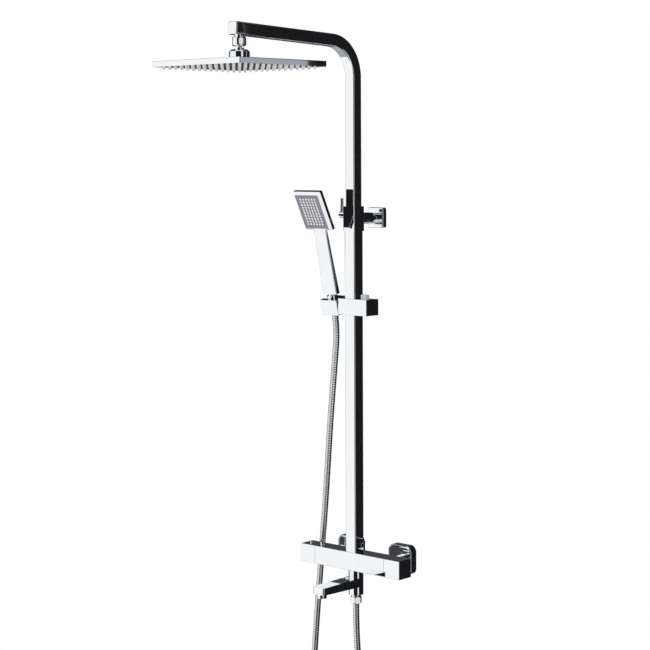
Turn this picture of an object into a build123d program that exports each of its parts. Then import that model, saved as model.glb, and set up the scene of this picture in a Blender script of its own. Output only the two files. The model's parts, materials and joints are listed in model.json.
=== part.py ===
from build123d import *
import math
import os

# Rainfall shower column, in millimetres.
# Origin: on the wall plane, midway between the two water inlets.
# +X is to the right seen from the front, +Y points into the wall, +Z is up.

# ---- wall and mixer bar ----
AXIS_Y = -84.0            # riser and mixer axis, in front of the wall
INLET_PITCH = 150.0       # hot to cold inlet
BAR_SIDE = 41.0           # square section of the mixer bar
BAR_LENGTH = 290.0        # over both knobs
KNOB_LENGTH = 43.5
KNOB_GAP = 0.6            # between a knob and the mixer body
EDGE_ROUND = 1.8          # soft outer edges of the cast pieces
CART_R = 14.4             # cartridge radius
CART_GAP = 0.1
CART_LENGTH = 54.0
CART_NUT_LENGTH = 6.0
CART_NOSE_R = 6.6
NOSE_STICKS_OUT = 2.0
SPINDLE_R = 4.0
RUN_GAP = 0.05            # radial clearance of turning shafts
SPINDLE_IN = 24.0         # depth of the spindle in its cartridge
SPINDLE_OUT = 22.0        # length of the spindle beyond the mixer body
KNOB_CAVITY_R = 16.0
KNOB_CAVITY = 12.0
WATERWAY_R = 8.0
CART_PORT_R = 5.0         # round waterway in the inner end of a cartridge
CART_SIDE_PORT_R = 4.0
NUT_PIN_R = 1.5           # four blind holes for a pin spanner
NUT_PIN_CIRCLE = 10.5
SPLINES = 12

# ---- safety stop on the temperature knob ----
SAFETY_R = 3.0
SAFETY_GAP = 0.3
SAFETY_X = -130.4
SAFETY_PROUD = 4.3        # height above the knob
SAFETY_DEPTH = 6.0        # length inside the knob
SAFETY_ROOM = 2.5         # room under the button

# ---- inlets ----
THREAD_R = 10.48          # G1/2 male thread
WALL_THREAD = 14.0        # thread that goes into the wall
UNION_FLANGE_R = 13.0
UNION_PIPE_R = 11.0
UNION_BORE_R = 8.0
BOSS_R = 13.2             # G3/4 male thread on the mixer
BOSS_LENGTH = 13.5
WASHER_T = 2.0
INLET_NUT_FLATS = 31.0
INLET_NUT_LENGTH = 20.0
ROSETTE_SIDE = 66.0
ROSETTE_DEPTH = 20.0
ROSETTE_CORNER = 15.0
ROSETTE_WALL = 2.0
ROSETTE_EDGE = 4.0        # rounding of the front edge
UNION_FLANGE_T = 12.0
UNION_COLLAR_T = 3.0
VALVE_LENGTH = 10.0
VALVE_PORT_R = 1.3
VALVE_PORT_CIRCLE = 3.2

# ---- riser ----
LOWER_SIDE = 29.4         # outer side of the lower square tube
TUBE_WALL = 1.5
TELESCOPE_GAP = 0.2       # per side, between the two tubes
UPPER_SIDE = LOWER_SIDE - 2 * (TUBE_WALL + TELESCOPE_GAP)
TUBE_CORNER = 3.0
SPIGOT_R = 9.0
SPIGOT_HEIGHT = 24.0
SPIGOT_SUNK = 12.0        # length inside the mixer
SPIGOT_BORE_R = 5.5
FOOT_HEIGHT = 25.0
RING_R = 1.0              # section radius of the O-rings
COLLAR_WALL = 2.0
COLLAR_SIDE = LOWER_SIDE + 2 * COLLAR_WALL
COLLAR_HEIGHT = 54.0
COLLAR_Z = 758.0          # centre of the collar and of the wall bracket
COLLAR_LIP = 6.0
SLIDE_GAP = 0.05          # per side, between sliding square pieces
UPPER_HIDDEN = 160.0      # upper tube inside the lower tube
BUSH_HEIGHT = 20.0
ARM_TOP = 1165.0
ARM_TIP_Y = -453.0
BEND_R = 78.0             # centre line of the bend
ARM_RISE = 2.3            # the arm climbs towards its tip, degrees
CAP_DEPTH = 10.0
CAP_PROUD = 0.2           # the cap stands out round the tube
CAP_ROUND = 2.4
PLUG_LENGTH = 6.0
PLUG_GAP = 0.1            # per side

# ---- wall bracket ----
STEM_R = 12.5
STEM_GROOVE = 1.2
STEM_GROOVES = (14.0, 21.0)  # from the collar
BRACKET_CORNER = 5.0
BRACKET_EDGE = 3.0
BRACKET_SIDE = 45.0
BRACKET_DEPTH = 12.0
BRACKET_WALL = 1.5
PLATE_SIDE = 41.0
PLATE_T = 4.0
PLATE_CORNER = 3.5
PLATE_BOSS_R = 12.3
PLATE_HOLE_R = 2.6
PLATE_HOLE_PITCH = 30.0
STEM_SPIGOT_R = 9.0
GRUB_R = 2.0
GRUB_GAP = 0.1
GRUB_BACK = 4.5           # grub screw behind the rosette's front

# ---- clamp ----
CLAMP_Z = 766.0
CLAMP_SCREW_R = 3.0
CLAMP_GAP = 0.1
CLAMP_KNOB_R = 7.5
CLAMP_KNOB_OFF = 2.3      # knob clear of the collar
CLAMP_KNOB_LENGTH = 19.5
LEVER_IN = 4.5            # lever from the knob's outer end
CLAMP_KNOB_IN = -COLLAR_SIDE / 2 - CLAMP_KNOB_OFF
CLAMP_KNOB_OUT = CLAMP_KNOB_IN - CLAMP_KNOB_LENGTH
LEVER_X = CLAMP_KNOB_OUT + LEVER_IN
LEVER_R = 3.4
LEVER_LENGTH = 36.5
LEVER_TENON_R = 2.04

# ---- head joint ----
HEAD_FROM_TIP = 20.5      # head axis behind the arm's tip
BALL_UNDER_ARM = 14.0     # ball centre below the arm
HEAD_Y = ARM_TIP_Y + HEAD_FROM_TIP
BALL_Z = ARM_TOP - UPPER_SIDE - BALL_UNDER_ARM
BALL_R = 8.5
CUP_IN_R = 8.7
CUP_OUT_R = 9.7
SEAT_R = 9.95
NUT_R = 14.2
NUT_BELOW_BALL = 8.0
NUT_ABOVE_BALL = 11.0
NUT_BOTTOM = BALL_Z - NUT_BELOW_BALL
NUT_TOP = BALL_Z + NUT_ABOVE_BALL
NUT_BORE_R = 12.4
NECK_R = 9.6
BALL_NECK_R = 4.8
NUT_MOUTH_R = 7.5         # room for the neck as the ball tilts
SEAT_GAP = 0.3
COLLAR_GAP = 3.2          # clear of the nut at the ends of both tilts
HUB_R = 21.2
HUB_HEIGHT = 23.3
STUD_SUNK = 12.0          # length of the stud inside the hub
HEAD_BORE_R = 5.0

# ---- shower head ----
HEAD_SIDE = 250.0
HEAD_UNDER_BALL = 38.0
HEAD_TOP = BALL_Z - HEAD_UNDER_BALL
HEAD_T = 11.6
HEAD_WALL = 1.5
HEAD_EDGE = 1.4           # rounding of the top edge
FACE_T = 2.5
FACE_GAP = 0.2
NOZZLES = 14
NOZZLE_PITCH = 16.6
NOZZLE_R = 3.3
NOZZLE_TIP_R = 2.6
NOZZLE_OUT = 5.0
MAT_T = 1.4
GASKET_WIDTH = 5.0

# ---- spout ----
SPOUT_X = 3.5
SPOUT_R = 16.5
SPOUT_WALL = 4.0
SPOUT_TIP_ROUND = 5.0
SPOUT_RINGS = (-29.0, -68.0)
SPOUT_BOTTOM = -76.5
SPOUT_GAP = 0.7
PILLAR_R = 10.5
PILLAR_BORE_R = 6.0
PILLAR_THREAD = 12.0      # length inside the hose nut
SPOUT_REACH = 126.0
ARM_TOP_BACK = -37.6
ARM_TOP_FRONT = -39.4
ARM_LOW_BACK = -58.4
ARM_LOW_FRONT = -55.2
AERATOR_R = 11.0
AERATOR_REACH = 113.5
AERATOR_DROP = 9.5

# ---- hose ----
HOSE_R = 7.0
HOSE_NUT_TOP = -81.0
HOSE_NUT_LENGTH = 16.5
HOSE_NUT_R = 13.3
HOSE_END_Z = -100.0

# ---- slider ----
SLIDER_Z = 565.6
SLIDER_LEFT = -29.0
SLIDER_RIGHT = 53.5
SLIDER_HEIGHT = 35.5
LINER_T = 1.9
BUTTON_X = 36.8
BUTTON_Y = -89.2
BUTTON_WIDTH = 16.4
BUTTON_DEPTH = 11.5
BUTTON_ABOVE = 10.0
BUTTON_IN = 6.5
BUTTON_GAP = 0.3
SPRING_R = 4.0
SPRING_WIRE = 0.5
SPRING_LENGTH = 10.0
SPRING_TURNS = 5
SPRING_GAP = 0.3
SHOE_HALF = 5.0           # half the width of the brake shoe
SHOE_HEIGHT = 12.0
SHOE_LENGTH = 11.0
SHOE_GAP = 0.2
PIN_IN_SLIDER = 9.0

# ---- holder and handset ----
TILT = 13.5               # forward lean of the holder and handset, degrees
PIVOT_Y = -86.0
HANDSET_X = -58.0
HOLDER_LEFT = -79.0
HOLDER_HEIGHT = 34.5
HOLDER_DEPTH = 40.5
PIN_R = 4.0
PIN_IN_HOLDER = 11.0
FRICTION_WASHER = 0.8
HOLDER_SLOT = 16.0
CONE_TOP_R = 11.6
CONE_LOW_R = 9.7
CONE_GAP = 0.3
CONE_ABOVE = 24.0         # cone nut above the pivot level
CONE_BELOW = 20.0         # cone nut below the pivot level
CUP_LINER_T = 1.4
HOSE_EXIT = -5.0          # where the hose leaves its upper end piece
HOSE_START_GAP = 0.3
FIRST_RUN = 47.0          # first run of the hose, in line with the handset
NIPPLE_R = 8.2
NIPPLE_START = 14.0
WATER_R = 4.4
FERRULE_BORE_R = 4.0
HANDLE_START = 27.5
HANDLE_LOW = (39.6, 13.4)
HANDLE_HIGH = (35.0, 6.4)
HANDLE_END = 180.0
HANDLE_WALL = 1.7
HANDLE_CORNER = 2.4
HEAD_LEAN = 12.8          # extra lean of the handset head, degrees
PAD_START = 174.6
PAD_WIDTH = 79.0
PAD_LENGTH = 93.0
PAD_BAND = 8.4
PAD_RISE = 5.0
PAD_TUCK = 1.7            # the head's foot lies this far inside the handle
FRAME_EDGE = 0.8          # rim round the grey plate
POCKET_DEPTH = 4.0
GREY_T = 3.0
GREY_GAP = 0.15
SPRAY_COLUMNS = 6
SPRAY_ROWS = 10
SPRAY_PITCH = 8.4
SPRAY_ROW_PITCH = 6.7
SPRAY_SIZE = 3.9
SPRAY_PROUD = 0.9
SPRAY_MAT_T = 1.0

os.makedirs("parts", exist_ok=True)

half_bar = BAR_SIDE / 2
body_half = BAR_LENGTH / 2 - KNOB_LENGTH - KNOB_GAP
bar_back = AXIS_Y + half_bar
boss_end = bar_back + BOSS_LENGTH
lower_bore = LOWER_SIDE - 2 * TUBE_WALL
arm_z = ARM_TOP - UPPER_SIDE / 2
arm_under = ARM_TOP - UPPER_SIDE
collar_top = COLLAR_Z + COLLAR_HEIGHT / 2
collar_low = COLLAR_Z - COLLAR_HEIGHT / 2
lower_top = collar_top - COLLAR_LIP
upper_low = collar_top - UPPER_HIDDEN
head_under = HEAD_TOP - HEAD_T


def save(name, *solids):
    """Write one named piece, or a group of like pieces, to its own file."""
    found = []
    for solid in solids:
        found.extend(solid.solids())
    shape = found[0] if len(found) == 1 else Compound(children=found)
    export_step(shape, f"parts/{name}.step")


def block(x0, x1, y0, y1, z0, z1):
    """A box between two corners."""
    centre = Pos((x0 + x1) / 2, (y0 + y1) / 2, (z0 + z1) / 2)
    return centre * Box(abs(x1 - x0), abs(y1 - y0), abs(z1 - z0))


def rod_x(radius, x0, x1, y=AXIS_Y, z=0.0):
    """A cylinder along X."""
    return Pos((x0 + x1) / 2, y, z) * Rot(0, 90, 0) * Cylinder(radius, abs(x1 - x0))


def rod_y(radius, y0, y1, x=0.0, z=0.0):
    """A cylinder along Y."""
    return Pos(x, (y0 + y1) / 2, z) * Rot(90, 0, 0) * Cylinder(radius, abs(y1 - y0))


def rod_z(radius, z0, z1, x=0.0, y=AXIS_Y):
    """A cylinder along Z."""
    return Pos(x, y, (z0 + z1) / 2) * Cylinder(radius, abs(z1 - z0))


def square_bar(side, corner, z0, z1, x=0.0, y=AXIS_Y):
    """A square bar with rounded corners, standing along Z."""
    flat = Plane((x, y, z0)) * RectangleRounded(side, side, corner)
    return extrude(flat, z1 - z0)


def tilted(shape):
    """Lean a piece forward about the holder's pivot."""
    return shape.rotate(Axis((0, PIVOT_Y, SLIDER_Z), (1, 0, 0)), TILT)


# ================= mixer body =================
def mixer_body():
    body = block(-body_half, body_half, AXIS_Y - half_bar, bar_back, -half_bar, half_bar)
    body = fillet(body.edges().filter_by(Axis.X), EDGE_ROUND)
    cavity = CART_LENGTH + CART_NUT_LENGTH
    for side in (-1, 1):
        inlet = side * INLET_PITCH / 2
        body += rod_y(BOSS_R, bar_back - 1, boss_end, inlet)
        body -= rod_x(CART_R + CART_GAP, side * body_half, side * (body_half - cavity))
        body -= rod_y(WATERWAY_R + 1.0, AXIS_Y, boss_end, inlet)
    body -= rod_x(WATERWAY_R, -body_half + cavity - 1, body_half - cavity + 1)
    body -= rod_z(SPIGOT_R, 0, half_bar)
    body -= rod_z(SPIGOT_R, -half_bar, 0, SPOUT_X)
    return body


def cartridge(side):
    """One cartridge: a drum with a nose that guides the spindle."""
    outer = side * (body_half - CART_NUT_LENGTH)
    drum = rod_x(CART_R, outer, outer - side * (CART_LENGTH - 0.5))
    nose = rod_x(CART_NOSE_R, outer, side * (body_half + NOSE_STICKS_OUT))
    hole_end = side * (body_half - SPINDLE_IN - 1)
    hole = rod_x(SPINDLE_R + RUN_GAP, side * (body_half + NOSE_STICKS_OUT), hole_end)
    groove = rod_x(CART_R, outer - side * 14, outer - side * 16)
    groove -= rod_x(CART_R - RING_R, outer - side * 14, outer - side * 16)
    water = rod_x(CART_PORT_R, outer - side * (CART_LENGTH - 0.5), outer - side * (CART_LENGTH - 14))
    ports = rod_y(CART_SIDE_PORT_R, AXIS_Y, AXIS_Y + CART_R, side * INLET_PITCH / 2)
    return drum + nose - hole - groove - water - ports


def cartridge_nut(side):
    """The threaded ring that holds a cartridge in the body."""
    face = side * body_half
    ring = rod_x(CART_R, face, face - side * CART_NUT_LENGTH)
    ring -= rod_x(CART_NOSE_R + CART_GAP, face, face - side * CART_NUT_LENGTH)
    for turn in range(4):
        angle = math.radians(90 * turn + 45)
        y = AXIS_Y + NUT_PIN_CIRCLE * math.cos(angle)
        ring -= rod_x(NUT_PIN_R, face, face - side * 3, y, NUT_PIN_CIRCLE * math.sin(angle))
    return ring


def knob(side):
    """A square knob, hollow behind, bored for its spindle."""
    inner = side * (body_half + KNOB_GAP)
    outer = side * BAR_LENGTH / 2
    body = block(inner, outer, AXIS_Y - half_bar, bar_back, -half_bar, half_bar)
    body = fillet(body.edges().filter_by(Axis.X), EDGE_ROUND)
    end_edges = body.edges().group_by(Axis.X)[-1 if side > 0 else 0]
    body = fillet(end_edges, EDGE_ROUND * 0.6)
    body -= rod_x(KNOB_CAVITY_R, inner, inner + side * KNOB_CAVITY)
    body -= rod_x(SPINDLE_R + 0.02, inner, side * (body_half + SPINDLE_OUT))
    return body


def spindle(side):
    """A splined spindle: round in the cartridge, grooved in the knob."""
    shaft = rod_x(SPINDLE_R, side * (body_half - SPINDLE_IN), side * (body_half + SPINDLE_OUT))
    for turn in range(SPLINES):
        angle = 2 * math.pi * turn / SPLINES
        y = AXIS_Y + SPINDLE_R * math.cos(angle)
        z = SPINDLE_R * math.sin(angle)
        start = side * (body_half + KNOB_GAP + KNOB_CAVITY)
        shaft -= rod_x(0.4, start, side * (body_half + SPINDLE_OUT), y, z)
    return shaft


save("mixer_body", mixer_body())
save("diverter_cartridge", cartridge(1))
save("thermostatic_cartridge", cartridge(-1))
save("cartridge_nuts", cartridge_nut(-1), cartridge_nut(1))
save("diverter_knob", knob(1))
save("diverter_spindle", spindle(1))
save("temperature_spindle", spindle(-1))

# The safety stop button stands on top of the temperature knob.
stop_floor = half_bar - SAFETY_DEPTH - SAFETY_ROOM
temperature_knob = knob(-1)
temperature_knob -= rod_z(SAFETY_R + SAFETY_GAP, stop_floor, half_bar + 1, SAFETY_X)
save("temperature_knob", temperature_knob)
safety = rod_z(SAFETY_R, half_bar - SAFETY_DEPTH, half_bar + SAFETY_PROUD, SAFETY_X)
safety = fillet(safety.edges().group_by(Axis.Z)[-1], 0.8)
save("safety_button", safety)

# ================= inlets =================
flange_y = boss_end + WASHER_T
nut_front = bar_back + 1.0
nut_back = nut_front + INLET_NUT_LENGTH


def inlet_union(x):
    """Wall union: thread, wall flange, pipe and the collar held by the nut."""
    body = rod_y(THREAD_R, -1, WALL_THREAD, x)
    body += rod_y(UNION_FLANGE_R, -UNION_FLANGE_T, 0, x)
    body += rod_y(UNION_PIPE_R, flange_y, -UNION_FLANGE_T + 1, x)
    body += rod_y(UNION_FLANGE_R, flange_y, flange_y + UNION_COLLAR_T, x)
    return body - rod_y(UNION_BORE_R, flange_y, WALL_THREAD, x)


def inlet_nut(x):
    """Hexagonal union nut with chamfered corners."""
    corner = INLET_NUT_FLATS / math.sqrt(3)
    flat = Plane((x, nut_front, 0), x_dir=(1, 0, 0), z_dir=(0, 1, 0)) * RegularPolygon(corner, 6)
    body = extrude(flat, INLET_NUT_LENGTH)
    round_bar = rod_y(corner, nut_front, nut_back, x)
    body &= chamfer(round_bar.edges(), 1.6)
    body -= rod_y(BOSS_R + CART_GAP, nut_front, flange_y + UNION_COLLAR_T, x)
    return body - rod_y(UNION_PIPE_R + 0.2, nut_front, nut_back, x)


def rosette(x, z, side, depth, corner, wall, hole_r, edge):
    """A square rosette, open towards the wall, with a hole for its pipe."""
    front = Plane((x, -depth, z), x_dir=(1, 0, 0), z_dir=(0, 1, 0))
    shell = extrude(front * RectangleRounded(side, side, corner), depth)
    shell = fillet(shell.edges().group_by(Axis.Y)[0], edge)
    inside = Plane((x, -depth + wall, z), x_dir=(1, 0, 0), z_dir=(0, 1, 0))
    hollow_side = side - 2 * wall
    hollow_corner = max(corner - wall, 0.5)
    shell -= extrude(inside * RectangleRounded(hollow_side, hollow_side, hollow_corner), depth)
    return shell - rod_y(hole_r, -depth - 1, 0, x, z)


def inlet_washer(x):
    ring = rod_y(UNION_FLANGE_R - 0.1, boss_end, flange_y, x)
    return ring - rod_y(UNION_BORE_R, boss_end, flange_y, x)


def check_valve(x):
    """Non-return valve: a drum with a waterway, pressed into the inlet."""
    start = boss_end - VALVE_LENGTH - 1
    drum = rod_y(WATERWAY_R + 0.95, start, start + VALVE_LENGTH, x)
    drum -= rod_y(5.5, start, start + VALVE_LENGTH - 2, x)
    for turn in range(6):
        angle = math.radians(60 * turn)
        port_x = x + VALVE_PORT_CIRCLE * math.cos(angle)
        port_z = VALVE_PORT_CIRCLE * math.sin(angle)
        drum -= rod_y(VALVE_PORT_R, start, start + VALVE_LENGTH, port_x, port_z)
    return drum


inlets = (-INLET_PITCH / 2, INLET_PITCH / 2)
save("inlet_unions", *[inlet_union(x) for x in inlets])
save("inlet_nuts", *[inlet_nut(x) for x in inlets])
save("inlet_washers", *[inlet_washer(x) for x in inlets])
save("inlet_check_valves", *[check_valve(x) for x in inlets])
inlet_rosettes = []
for x in inlets:
    cover = rosette(x, 0, ROSETTE_SIDE, ROSETTE_DEPTH, ROSETTE_CORNER, ROSETTE_WALL,
                    UNION_PIPE_R + 0.3, ROSETTE_EDGE)
    inlet_rosettes.append(cover)
save("inlet_rosettes", *inlet_rosettes)

# ================= riser =================
spigot = rod_z(SPIGOT_R - 0.05, half_bar - SPIGOT_SUNK, half_bar + SPIGOT_HEIGHT)
spigot -= rod_z(SPIGOT_BORE_R, half_bar - SPIGOT_SUNK, half_bar + SPIGOT_HEIGHT)
ring_major = SPIGOT_R + 0.1 - RING_R
riser_rings = []
for height in (8.0, 16.0):
    z = half_bar + height
    seat = rod_z(SPIGOT_R + 1, z - RING_R - 0.1, z + RING_R + 0.1)
    seat -= rod_z(ring_major - RING_R, z - 3, z + 3)
    spigot -= seat
    riser_rings.append(Pos(0, AXIS_Y, z) * Torus(ring_major, RING_R))
save("riser_spigot", spigot)
save("riser_o_rings", *riser_rings)

foot = square_bar(lower_bore, TUBE_CORNER - TUBE_WALL, half_bar, half_bar + FOOT_HEIGHT)
foot -= rod_z(SPIGOT_R + 0.1, half_bar, half_bar + FOOT_HEIGHT)
save("riser_foot", foot)

lower_tube = square_bar(LOWER_SIDE, TUBE_CORNER, half_bar, lower_top)
lower_tube -= square_bar(lower_bore, TUBE_CORNER - TUBE_WALL, half_bar, lower_top)
clamp_hole = rod_x(CLAMP_SCREW_R + CLAMP_GAP, -LOWER_SIDE, 0, AXIS_Y, CLAMP_Z)
save("riser_lower_tube", lower_tube - clamp_hole)

collar = square_bar(COLLAR_SIDE, 2.0, collar_low, collar_top)
collar -= square_bar(LOWER_SIDE + 2 * SLIDE_GAP, TUBE_CORNER, collar_low, lower_top)
collar -= square_bar(UPPER_SIDE + 0.5, TUBE_CORNER, lower_top, collar_top)
save("riser_collar", collar - clamp_hole)


rise = math.radians(ARM_RISE)
arm_way = (0, -math.cos(rise), math.sin(rise))
bend_end_y = AXIS_Y - BEND_R + BEND_R * math.sin(rise)
bend_end_z = arm_z - (bend_end_y - HEAD_Y) * math.tan(rise)
bend_z = bend_end_z - BEND_R * math.cos(rise)


def arm_section(y):
    """Plane across the arm, on its centre line, which is at arm_z over the head."""
    return Plane((0, y, arm_z + (HEAD_Y - y) * math.tan(rise)), x_dir=(1, 0, 0), z_dir=arm_way)


def arm_bar(side, corner, low, tip):
    """The upper riser as one bent square bar: upright, bend and arm."""
    upright = square_bar(side, corner, low, bend_z)
    start = Plane((0, AXIS_Y, bend_z), x_dir=(1, 0, 0), z_dir=(0, 0, 1))
    hinge = Axis((0, AXIS_Y - BEND_R, bend_z), (1, 0, 0))
    bend = revolve(start * RectangleRounded(side, side, corner), hinge, 90 - ARM_RISE)
    arm_length = (bend_end_y - tip) / math.cos(rise)
    arm = extrude(arm_section(bend_end_y) * RectangleRounded(side, side, corner), arm_length)
    return upright + bend + arm


cap_start = ARM_TIP_Y + CAP_DEPTH
upper_bore = UPPER_SIDE - 2 * TUBE_WALL
upper_tube = arm_bar(UPPER_SIDE, TUBE_CORNER, upper_low, cap_start)
upper_tube -= arm_bar(upper_bore, TUBE_CORNER - TUBE_WALL, upper_low, cap_start)
upper_tube -= rod_z(NECK_R + 0.05, arm_under - 1, arm_under + 5, 0, HEAD_Y)
save("riser_upper_tube", upper_tube)

bush = square_bar(lower_bore - 2 * SLIDE_GAP, TUBE_CORNER - TUBE_WALL, upper_low - BUSH_HEIGHT, upper_low)
for height in (6.0, 13.0):
    z = upper_low - BUSH_HEIGHT + height
    groove = square_bar(lower_bore + 2, 1.0, z, z + 2.0)
    bush -= groove - square_bar(lower_bore - 2.4, 1.0, z, z + 2.0)
bush += square_bar(upper_bore, TUBE_CORNER - TUBE_WALL, upper_low, upper_low + 12)
bush -= rod_z(8.0, upper_low - BUSH_HEIGHT, upper_low + 12)
save("riser_seal_bush", bush)

cap_plane = arm_section(cap_start)
cap_side = UPPER_SIDE + 2 * CAP_PROUD
end_cap = extrude(cap_plane * RectangleRounded(cap_side, cap_side, TUBE_CORNER), CAP_DEPTH)
end_cap = fillet(end_cap.edges().group_by(Axis((0, 0, 0), arm_way))[-1], CAP_ROUND)
plug_side = upper_bore - 2 * PLUG_GAP
plug = extrude(cap_plane * RectangleRounded(plug_side, plug_side, TUBE_CORNER - TUBE_WALL), -PLUG_LENGTH)
plug -= rod_z(NECK_R + 0.4, arm_under, ARM_TOP, 0, HEAD_Y)
save("arm_end_cap", end_cap + plug)

# ================= wall bracket =================
stem_front = AXIS_Y + COLLAR_SIDE / 2
stem = rod_y(STEM_R, stem_front, -BRACKET_DEPTH + 1.5, 0, COLLAR_Z)
for offset in STEM_GROOVES:
    y = stem_front + offset
    groove = rod_y(STEM_R + 1, y, y + STEM_GROOVE, 0, COLLAR_Z)
    stem -= groove - rod_y(STEM_R - 0.8, y, y + STEM_GROOVE, 0, COLLAR_Z)
stem += rod_y(STEM_SPIGOT_R, -BRACKET_DEPTH, -0.5, 0, COLLAR_Z)
save("bracket_stem", stem)
grub_y = -BRACKET_DEPTH + GRUB_BACK
bracket_low = COLLAR_Z - BRACKET_SIDE / 2
bracket_rosette = rosette(0, COLLAR_Z, BRACKET_SIDE, BRACKET_DEPTH, BRACKET_CORNER, BRACKET_WALL,
                          STEM_R + 0.15, BRACKET_EDGE)
bracket_rosette -= rod_z(GRUB_R + GRUB_GAP, bracket_low - 1, COLLAR_Z - PLATE_BOSS_R, 0, grub_y)
save("bracket_rosette", bracket_rosette)
plate_back = Plane((0, -PLATE_T, COLLAR_Z), x_dir=(1, 0, 0), z_dir=(0, 1, 0))
plate = extrude(plate_back * RectangleRounded(PLATE_SIDE, PLATE_SIDE, PLATE_CORNER), PLATE_T)
plate += rod_y(PLATE_BOSS_R, -BRACKET_DEPTH + BRACKET_WALL, -PLATE_T, 0, COLLAR_Z)
plate -= rod_y(STEM_SPIGOT_R + 0.1, -BRACKET_DEPTH, 0, 0, COLLAR_Z)
for x in (-PLATE_HOLE_PITCH / 2, PLATE_HOLE_PITCH / 2):
    plate -= rod_y(PLATE_HOLE_R, -BRACKET_DEPTH, 0, x, COLLAR_Z)
bracket_grub = rod_z(GRUB_R, bracket_low + 0.4, COLLAR_Z - STEM_SPIGOT_R, 0, grub_y)
save("bracket_wall_plate", plate - rod_z(GRUB_R, COLLAR_Z - PLATE_BOSS_R - 1, COLLAR_Z, 0, grub_y))
save("bracket_grub_screw", bracket_grub)

# ================= clamp =================
screw_end = -LOWER_SIDE / 2 + TUBE_WALL
clamp = rod_x(CLAMP_SCREW_R, CLAMP_KNOB_IN, screw_end, AXIS_Y, CLAMP_Z)
grip = rod_x(CLAMP_KNOB_R, CLAMP_KNOB_OUT, CLAMP_KNOB_IN, AXIS_Y, CLAMP_Z)
grip = fillet(grip.edges(), 1.0)
lever_hole = rod_z(LEVER_TENON_R + 0.02, CLAMP_Z - 3, CLAMP_Z + CLAMP_KNOB_R + 1, LEVER_X)
save("clamp_knob", clamp + grip - lever_hole)
lever = rod_z(LEVER_R, CLAMP_Z + CLAMP_KNOB_R + 0.2, CLAMP_Z + LEVER_LENGTH, LEVER_X)
lever = fillet(lever.edges().group_by(Axis.Z)[-1], 1.5)
lever += rod_z(LEVER_TENON_R, CLAMP_Z - 2.5, CLAMP_Z + CLAMP_KNOB_R + 1, LEVER_X)
save("clamp_lever", lever)

# ================= head joint =================
ball_centre = Pos(0, HEAD_Y, BALL_Z)
nipple_low = BALL_Z + 6.5
nipple = rod_z(NECK_R, nipple_low, arm_under + 5, 0, HEAD_Y)
nipple += rod_z(NUT_BORE_R - 0.1, nipple_low, NUT_TOP, 0, HEAD_Y)
nipple -= rod_z(HEAD_BORE_R, nipple_low, arm_under + 5, 0, HEAD_Y)
nipple -= ball_centre * Sphere(SEAT_R)
save("arm_nipple", nipple)

nut = chamfer(rod_z(NUT_R, NUT_BOTTOM, NUT_TOP, 0, HEAD_Y).edges(), 2.2)
nut -= rod_z(NUT_BORE_R, BALL_Z - 3.5, NUT_TOP, 0, HEAD_Y)
nut -= ball_centre * Sphere(BALL_R + 0.25)
nut -= rod_z(NUT_MOUTH_R, NUT_BOTTOM - 1, BALL_Z, 0, HEAD_Y)
for turn in range(6):
    angle = 60 * turn
    flat_cut = block(-NUT_R, NUT_R, NUT_R - 0.7, NUT_R + 2, NUT_BOTTOM + 4, NUT_TOP - 4)
    nut -= Pos(0, HEAD_Y, 0) * Rot(0, 0, angle) * flat_cut
save("swivel_nut", nut)

seat_ring = rod_z(NUT_BORE_R - SEAT_GAP, BALL_Z - 3.2, nipple_low - SEAT_GAP, 0, HEAD_Y)
save("ball_seat_ring", seat_ring - ball_centre * Sphere(SEAT_R))
friction_cup = ball_centre * Sphere(CUP_OUT_R)
friction_cup -= ball_centre * Sphere(CUP_IN_R)
friction_cup &= rod_z(CUP_OUT_R + 1, BALL_Z - 1.3, BALL_Z + 6.0, 0, HEAD_Y)
save("ball_friction_cup", friction_cup)

hub_top = HEAD_TOP + HUB_HEIGHT
collar_top_z = NUT_BOTTOM - COLLAR_GAP
stud = ball_centre * Sphere(BALL_R)
stud += rod_z(BALL_NECK_R, collar_top_z - 1, BALL_Z - 5, 0, HEAD_Y)
stud += rod_z(NECK_R, hub_top, collar_top_z, 0, HEAD_Y)
stud += rod_z(NECK_R - 1.5, hub_top - STUD_SUNK, hub_top, 0, HEAD_Y)
stud -= rod_z(2.8, hub_top - STUD_SUNK, BALL_Z + BALL_R, 0, HEAD_Y)
save("ball_stud", stud)

hub = rod_z(HUB_R, HEAD_TOP, hub_top, 0, HEAD_Y)
hub = chamfer(hub.edges().group_by(Axis.Z)[-1], 4.0, 5.5)
hub -= rod_z(NECK_R - 1.45, hub_top - STUD_SUNK, hub_top, 0, HEAD_Y)
hub -= rod_z(HEAD_BORE_R, HEAD_TOP, hub_top, 0, HEAD_Y)
save("head_hub", hub)

# ================= shower head =================
half_head = HEAD_SIDE / 2
inner_side = HEAD_SIDE - 2 * HEAD_WALL


def head_sheet(side, z0, z1, corner=1.0):
    """A square sheet under the arm, centred on the head."""
    return square_bar(side, corner, z0, z1, 0, HEAD_Y)


shell = head_sheet(HEAD_SIDE, head_under, HEAD_TOP, 2.0)
shell = fillet(shell.edges().group_by(Axis.Z)[-1], HEAD_EDGE)
shell -= head_sheet(inner_side, head_under, HEAD_TOP - HEAD_WALL)
shell -= rod_z(HEAD_BORE_R, HEAD_TOP - HEAD_WALL, HEAD_TOP, 0, HEAD_Y)
save("head_shell", shell)

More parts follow.
